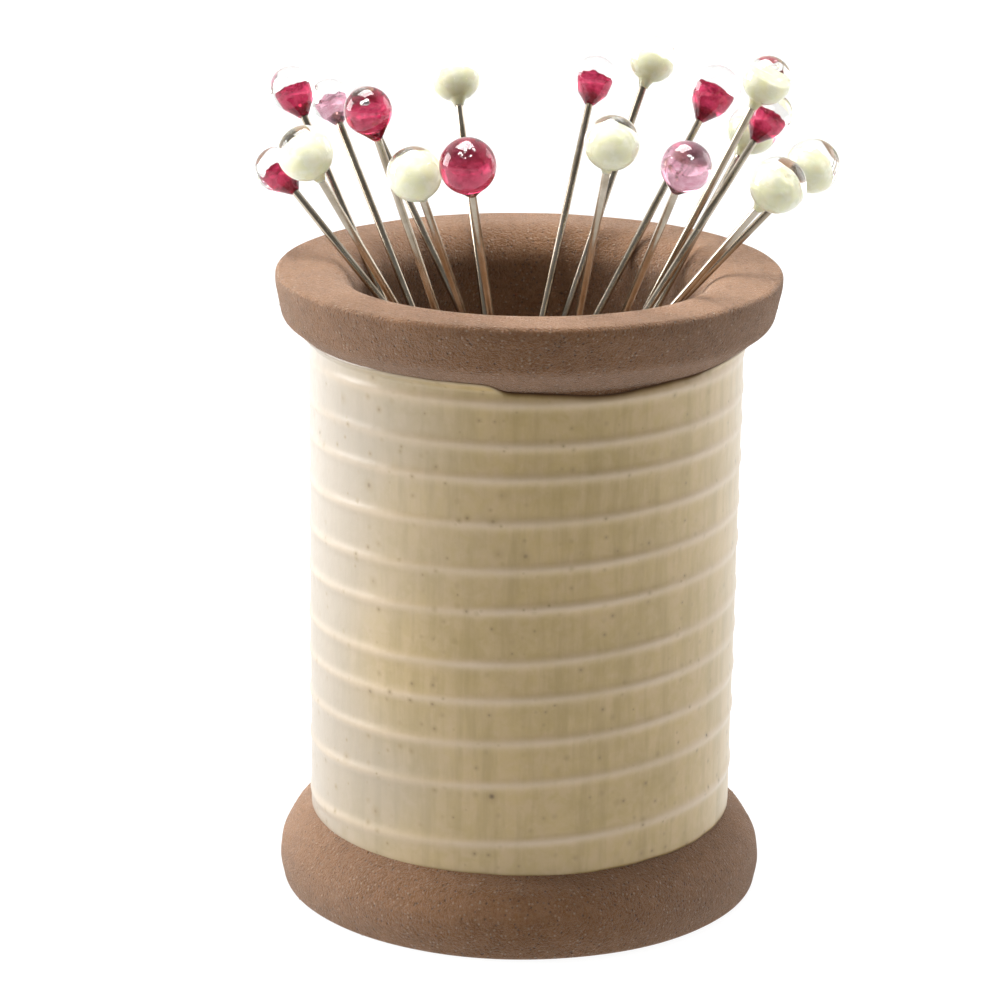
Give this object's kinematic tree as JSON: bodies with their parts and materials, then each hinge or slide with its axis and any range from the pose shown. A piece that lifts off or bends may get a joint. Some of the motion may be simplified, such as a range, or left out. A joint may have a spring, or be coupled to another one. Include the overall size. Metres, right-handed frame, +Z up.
{
  "type": "pin holder",
  "caption": "Glazed stoneware thread-reel pin holder with a well in its top, where glass-headed steel pins stand on a magnet and lean outward on the lip.",
  "frame": {"origin": "middle of the reel's flat base, where it stands", "axes": "+Z up along the reel's axis, -Y towards the front of the reel, +X to the right seen from the front"},
  "size_m": [0.0461, 0.0472, 0.0682],
  "materials": {
    "bare_stoneware": "bare fired stoneware clay, matt, fine sandy grain",
    "cream_glaze": "cream speckled stoneware glaze, semi-gloss, thin on the raised throwing rings",
    "magnet_plating": "nickel plating, smooth",
    "pin_steel": "nickel-plated steel wire, smooth",
    "cream_glass": "opaque cream-white glass, glossy",
    "magenta_glass": "translucent magenta glass with small bubbles, glossy",
    "clear_glass": "clear glass, glossy"
  },
  "bodies": {
    "reel": {"stoneware_spool": "bare_stoneware", "disc_magnet": "magnet_plating", "glaze_coat": "cream_glaze"},
    "pink_pin_1": {"pink_pin_1_shaft": "pin_steel", "pink_pin_1_gather": "magenta_glass", "pink_pin_1_cap": "clear_glass"},
    "pink_pin_2": {"pink_pin_2_shaft": "pin_steel", "pink_pin_2_gather": "magenta_glass", "pink_pin_2_cap": "clear_glass"},
    "pink_pin_3": {"pink_pin_3_shaft": "pin_steel", "pink_pin_3_gather": "magenta_glass", "pink_pin_3_cap": "clear_glass"},
    "pink_pin_4": {"pink_pin_4_shaft": "pin_steel", "pink_pin_4_gather": "magenta_glass", "pink_pin_4_cap": "clear_glass"},
    "cream_pin_1": {"cream_pin_1_shaft": "pin_steel", "cream_pin_1_gather": "cream_glass", "cream_pin_1_cap": "clear_glass"},
    "cream_pin_2": {"cream_pin_2_shaft": "pin_steel", "cream_pin_2_gather": "cream_glass", "cream_pin_2_cap": "clear_glass"},
    "cream_pin_3": {"cream_pin_3_shaft": "pin_steel", "cream_pin_3_gather": "cream_glass", "cream_pin_3_cap": "clear_glass"},
    "pink_pin_5": {"pink_pin_5_shaft": "pin_steel", "pink_pin_5_gather": "magenta_glass", "pink_pin_5_cap": "clear_glass"},
    "pink_pin_6": {"pink_pin_6_shaft": "pin_steel", "pink_pin_6_gather": "magenta_glass", "pink_pin_6_cap": "clear_glass"},
    "pink_pin_7": {"pink_pin_7_shaft": "pin_steel", "pink_pin_7_gather": "magenta_glass", "pink_pin_7_cap": "clear_glass"},
    "cream_pin_4": {"cream_pin_4_shaft": "pin_steel", "cream_pin_4_gather": "cream_glass", "cream_pin_4_cap": "clear_glass"},
    "cream_pin_5": {"cream_pin_5_shaft": "pin_steel", "cream_pin_5_gather": "cream_glass", "cream_pin_5_cap": "clear_glass"},
    "pink_pin_8": {"pink_pin_8_shaft": "pin_steel", "pink_pin_8_gather": "magenta_glass", "pink_pin_8_cap": "clear_glass"},
    "pink_pin_9": {"pink_pin_9_shaft": "pin_steel", "pink_pin_9_gather": "magenta_glass", "pink_pin_9_cap": "clear_glass"},
    "cream_pin_6": {"cream_pin_6_shaft": "pin_steel", "cream_pin_6_gather": "cream_glass", "cream_pin_6_cap": "clear_glass"},
    "pink_pin_10": {"pink_pin_10_shaft": "pin_steel", "pink_pin_10_gather": "magenta_glass", "pink_pin_10_cap": "clear_glass"},
    "cream_pin_7": {"cream_pin_7_shaft": "pin_steel", "cream_pin_7_gather": "cream_glass", "cream_pin_7_cap": "clear_glass"},
    "cream_pin_8": {"cream_pin_8_shaft": "pin_steel", "cream_pin_8_gather": "cream_glass", "cream_pin_8_cap": "clear_glass"},
    "cream_pin_9": {"cream_pin_9_shaft": "pin_steel", "cream_pin_9_gather": "cream_glass", "cream_pin_9_cap": "clear_glass"}
  },
  "joints": [
    {"name": "pink_pin_1_pull", "type": "slide", "parent": "reel", "child": "pink_pin_1", "axis": [-0.409, 0.3814, 0.829], "range_m": [0, 0.028]},
    {"name": "pink_pin_2_pull", "type": "slide", "parent": "reel", "child": "pink_pin_2", "axis": [-0.3705, 0.4917, 0.788], "range_m": [0, 0.028]},
    {"name": "pink_pin_3_pull", "type": "slide", "parent": "reel", "child": "pink_pin_3", "axis": [-0.2911, -0.2357, 0.9272], "range_m": [0, 0.028]},
    {"name": "pink_pin_4_pull", "type": "slide", "parent": "reel", "child": "pink_pin_4", "axis": [-0.6269, 0.3767, 0.682], "range_m": [0, 0.028]},
    {"name": "cream_pin_1_pull", "type": "slide", "parent": "reel", "child": "cream_pin_1", "axis": [-0.422, -0.3669, 0.829], "range_m": [0, 0.028]},
    {"name": "cream_pin_2_pull", "type": "slide", "parent": "reel", "child": "cream_pin_2", "axis": [-0.1322, 0.5727, 0.809], "range_m": [0, 0.028]},
    {"name": "cream_pin_3_pull", "type": "slide", "parent": "reel", "child": "cream_pin_3", "axis": [-0.2333, -0.524, 0.8192], "range_m": [0, 0.028]},
    {"name": "pink_pin_5_pull", "type": "slide", "parent": "reel", "child": "pink_pin_5", "axis": [-0.1102, -0.5183, 0.848], "range_m": [0, 0.028]},
    {"name": "pink_pin_6_pull", "type": "slide", "parent": "reel", "child": "pink_pin_6", "axis": [-0.4217, 0.5026, 0.7547], "range_m": [0, 0.028]},
    {"name": "pink_pin_7_pull", "type": "slide", "parent": "reel", "child": "pink_pin_7", "axis": [0.1914, 0.5558, 0.809], "range_m": [0, 0.028]},
    {"name": "cream_pin_4_pull", "type": "slide", "parent": "reel", "child": "cream_pin_4", "axis": [0.3078, 0.394, 0.866], "range_m": [0, 0.028]},
    {"name": "cream_pin_5_pull", "type": "slide", "parent": "reel", "child": "cream_pin_5", "axis": [0.1251, -0.4364, 0.891], "range_m": [0, 0.028]},
    {"name": "pink_pin_8_pull", "type": "slide", "parent": "reel", "child": "pink_pin_8", "axis": [0.4503, 0.3778, 0.809], "range_m": [0, 0.028]},
    {"name": "pink_pin_9_pull", "type": "slide", "parent": "reel", "child": "pink_pin_9", "axis": [0.264, -0.4764, 0.8387], "range_m": [0, 0.028]},
    {"name": "cream_pin_6_pull", "type": "slide", "parent": "reel", "child": "cream_pin_6", "axis": [0.4214, -0.1208, 0.8988], "range_m": [0, 0.028]},
    {"name": "pink_pin_10_pull", "type": "slide", "parent": "reel", "child": "pink_pin_10", "axis": [0.5212, 0.3009, 0.7986], "range_m": [0, 0.028]},
    {"name": "cream_pin_7_pull", "type": "slide", "parent": "reel", "child": "cream_pin_7", "axis": [0.4477, 0.4973, 0.7431], "range_m": [0, 0.028]},
    {"name": "cream_pin_8_pull", "type": "slide", "parent": "reel", "child": "cream_pin_8", "axis": [0.5329, -0.3594, 0.766], "range_m": [0, 0.028]},
    {"name": "cream_pin_9_pull", "type": "slide", "parent": "reel", "child": "cream_pin_9", "axis": [0.6682, -0.035, 0.7431], "range_m": [0, 0.028]}
  ]
}
